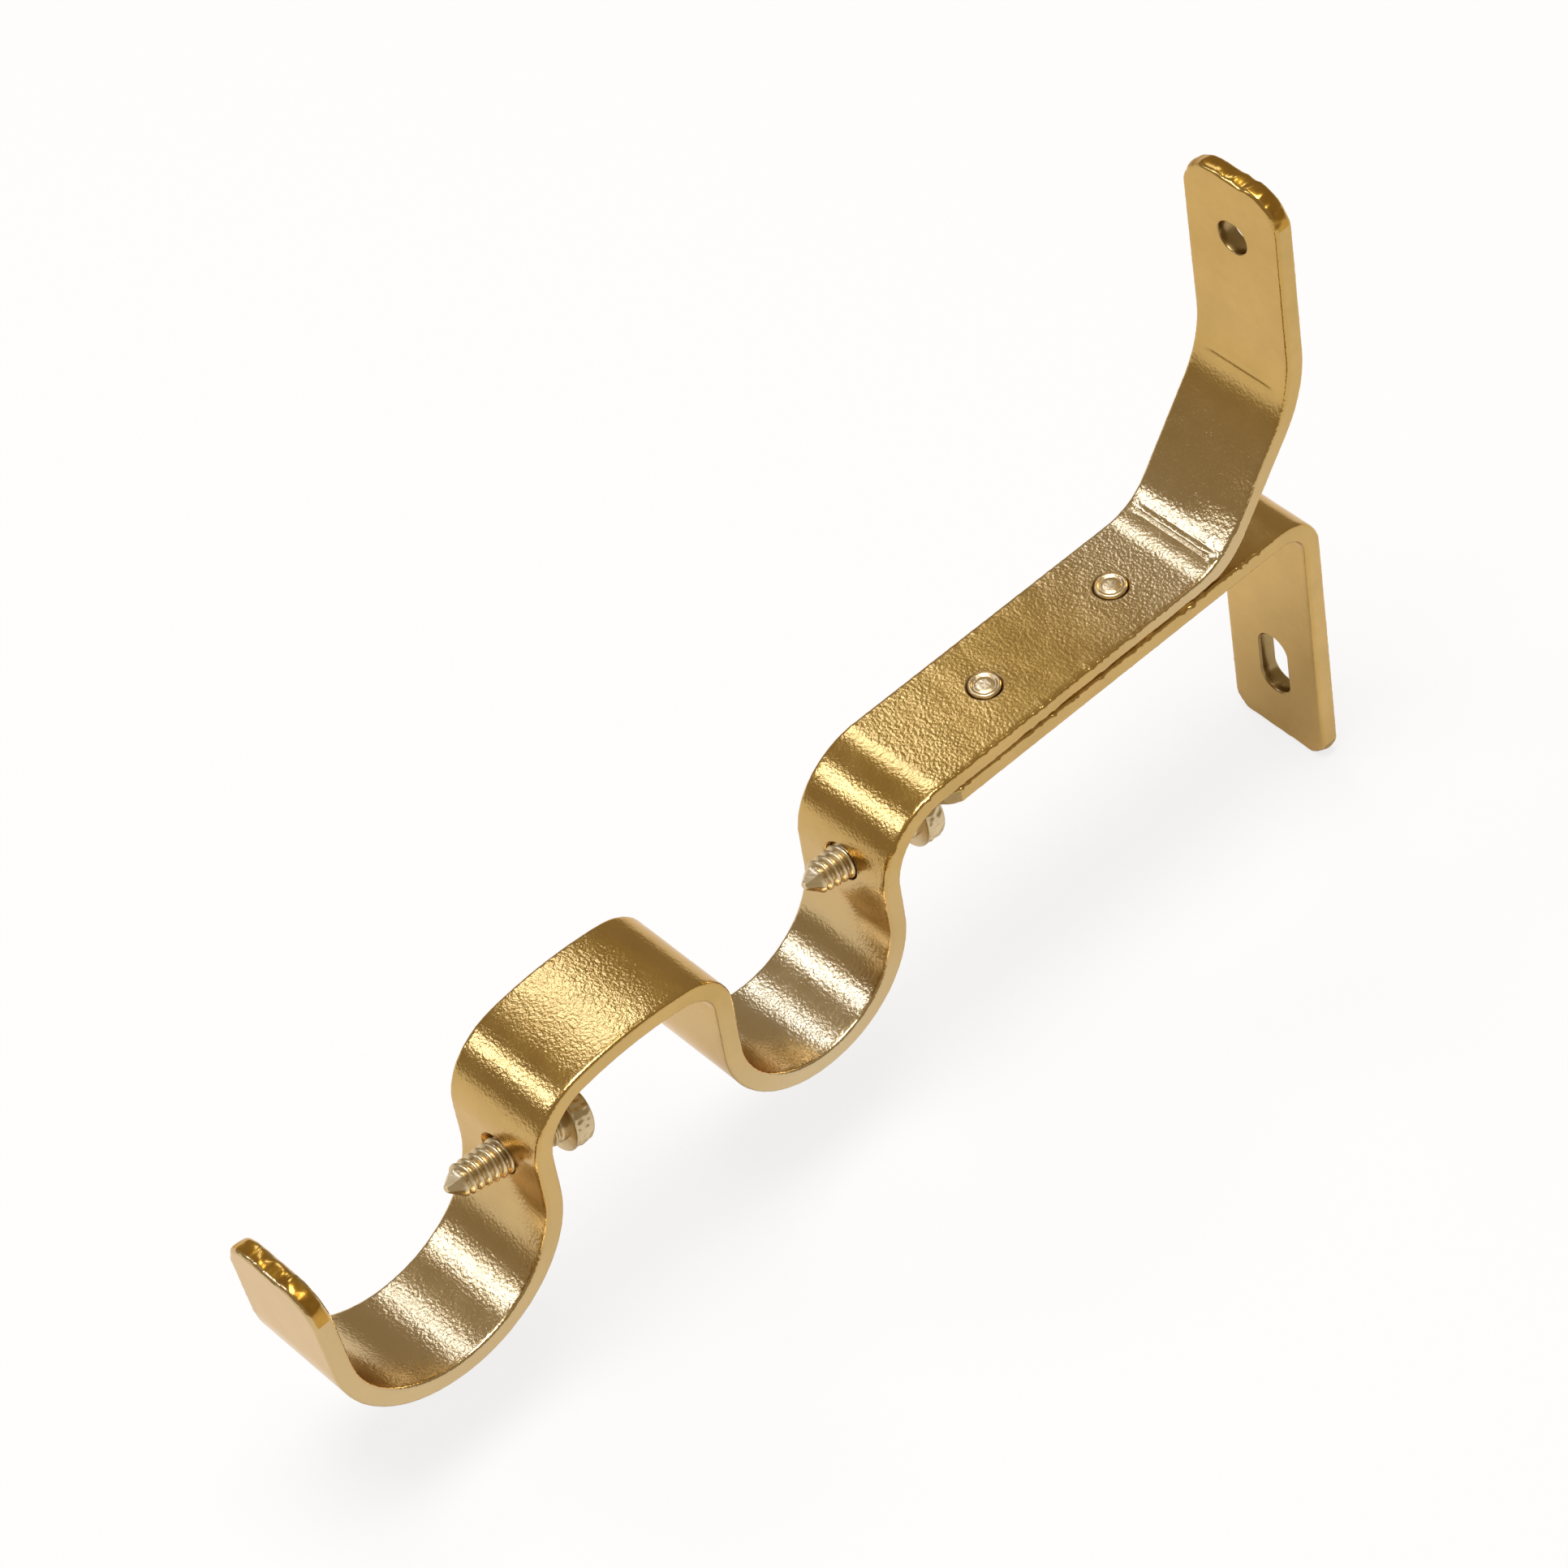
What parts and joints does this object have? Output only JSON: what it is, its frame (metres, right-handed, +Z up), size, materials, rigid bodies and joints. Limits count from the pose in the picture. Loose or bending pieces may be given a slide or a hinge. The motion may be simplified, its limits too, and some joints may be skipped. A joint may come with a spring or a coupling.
{
  "type": "double curtain pole bracket",
  "caption": "Wall bracket bent from flat strip that carries a rear and a front curtain pole in open cradles, with a clamping screw at each cradle and a riveted support strip below.",
  "frame": {"origin": "centre of the upper wall hole in the wall plane", "axes": "+Z up, -Y out from the wall into the room, X along the poles"},
  "size_m": [0.015, 0.1569, 0.0929],
  "materials": {
    "gold_strip": "satin gold coating with a fine grain",
    "pale_rivet": "pale champagne plating",
    "pale_screw": "bright pale gold plating"
  },
  "bodies": {
    "bracket": {"pole_strip": "gold_strip", "support_strip": "gold_strip", "rivet_rear": "pale_rivet", "rivet_front": "pale_rivet"},
    "rear_screw": {"clamp_screw_rear": "pale_screw"},
    "front_screw": {"clamp_screw_front": "pale_screw"}
  },
  "joints": [
    {"name": "rear_screw_travel", "type": "slide", "parent": "bracket", "child": "rear_screw", "axis": [0, -0.9925, 0.1219], "range_m": [-0.0055, 0.006]},
    {"name": "front_screw_travel", "type": "slide", "parent": "bracket", "child": "front_screw", "axis": [0, -0.9848, 0.1736], "range_m": [-0.0075, 0.0045]}
  ]
}
